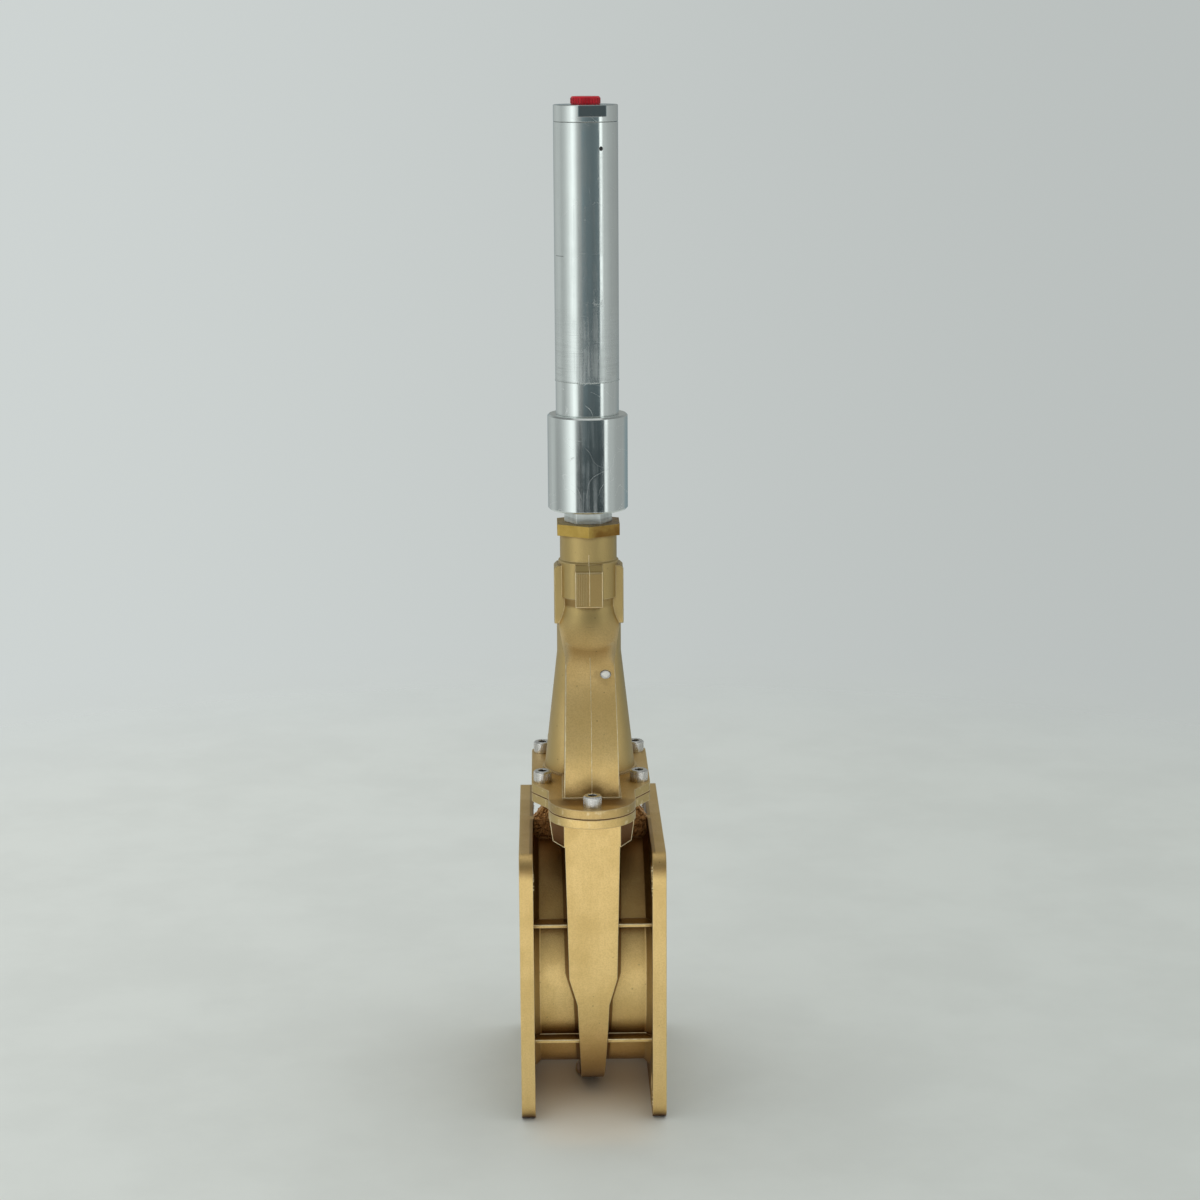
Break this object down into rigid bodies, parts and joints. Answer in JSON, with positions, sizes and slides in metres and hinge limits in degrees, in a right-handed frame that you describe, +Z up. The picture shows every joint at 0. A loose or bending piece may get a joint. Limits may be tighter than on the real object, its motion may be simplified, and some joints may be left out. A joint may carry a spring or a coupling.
{
  "type": "hydraulic slide gate valve",
  "caption": "Brass slide gate valve with square pipe flanges, a tall domed bonnet and an upright hydraulic cylinder that lifts a round steel gate out of the bore.",
  "frame": {"origin": "middle of the footprint on the floor, under the two pipe flanges", "axes": "+X along the pipe bore to the right-hand flange, +Y across the pipe away from the viewer, +Z up along the stem and the hydraulic cylinder"},
  "size_m": [0.105, 0.239, 0.7284],
  "materials": {
    "cast_brass": "satin, shot blasted casting",
    "machined_brass": "machined",
    "zinc_steel": "bright zinc plate on turned steel",
    "stainless": "satin stainless steel",
    "chrome": "hard chrome, polished",
    "black_steel": "black oxide",
    "rubber": "matt",
    "gasket": "matt fibre sheet",
    "white_plastic": "matt",
    "red_plastic": "moulded, slight gloss"
  },
  "bodies": {
    "valve": {"valve_body": "cast_brass", "bonnet": "cast_brass", "bonnet_gasket": "gasket", "end_screws": "stainless", "side_screws": "stainless", "vent_plug": "zinc_steel", "seal_left": "rubber", "seal_right": "rubber", "guide_bush": "machined_brass", "packing_ring_1": "white_plastic", "packing_ring_2": "white_plastic", "packing_ring_3": "white_plastic", "packing_follower": "machined_brass", "gland_nut": "machined_brass", "threaded_nipple": "zinc_steel", "lock_nut": "zinc_steel", "lower_head": "zinc_steel", "rod_gland": "machined_brass", "rod_wiper": "rubber", "rod_seal": "rubber", "rod_gland_oring": "rubber", "gland_circlip": "zinc_steel", "tube_socket": "zinc_steel", "socket_oring": "rubber", "cylinder_tube": "zinc_steel", "cylinder_cap": "zinc_steel", "cap_oring": "rubber", "cap_lock_screw": "black_steel"},
    "gate_train": {"gate": "stainless", "gate_clevis": "stainless", "clevis_pin": "stainless", "piston_rod": "chrome", "piston": "zinc_steel", "piston_seal": "rubber", "piston_guide_ring": "white_plastic", "piston_nut": "zinc_steel"},
    "top_plug": {"top_port_plug": "red_plastic"},
    "side_plug": {"side_port_plug": "red_plastic"}
  },
  "joints": [
    {"name": "gate_lift", "type": "slide", "parent": "valve", "child": "gate_train", "axis": [0, 0, 1], "range_m": [0, 0.155]},
    {"name": "top_plug_pull", "type": "slide", "parent": "valve", "child": "top_plug", "axis": [0, 0, 1], "range_m": [0, 0.02]},
    {"name": "side_plug_pull", "type": "slide", "parent": "valve", "child": "side_plug", "axis": [0, 1, 0], "range_m": [0, 0.02]}
  ]
}
